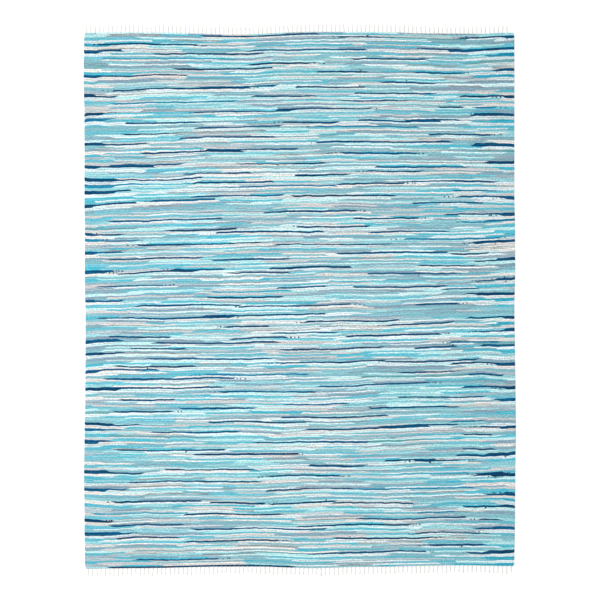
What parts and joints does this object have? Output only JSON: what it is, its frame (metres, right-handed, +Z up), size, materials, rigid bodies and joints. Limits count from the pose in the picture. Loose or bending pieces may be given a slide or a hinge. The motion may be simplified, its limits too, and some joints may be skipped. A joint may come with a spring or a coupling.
{
  "type": "rag rug",
  "caption": "Flat-woven cotton rag rug with ribbed weft rows, turned selvedges and a short knotted warp fringe at both ends.",
  "frame": {"origin": "on the floor, under the middle of the whole rug with its fringes", "axes": "+Z up through the cloth, +Y along the length towards the far fringe, +X across the width to the right"},
  "size_m": [2.4556, 3.1332, 0.007],
  "materials": {
    "rag_weave": "matt woven cotton rags in mixed turquoise, aqua, grey, navy and off-white",
    "cotton_warp": "matt twisted off-white cotton"
  },
  "bodies": {
    "root": {"woven_panel": "rag_weave", "far_fringe": "cotton_warp", "near_fringe": "cotton_warp"}
  },
  "joints": []
}
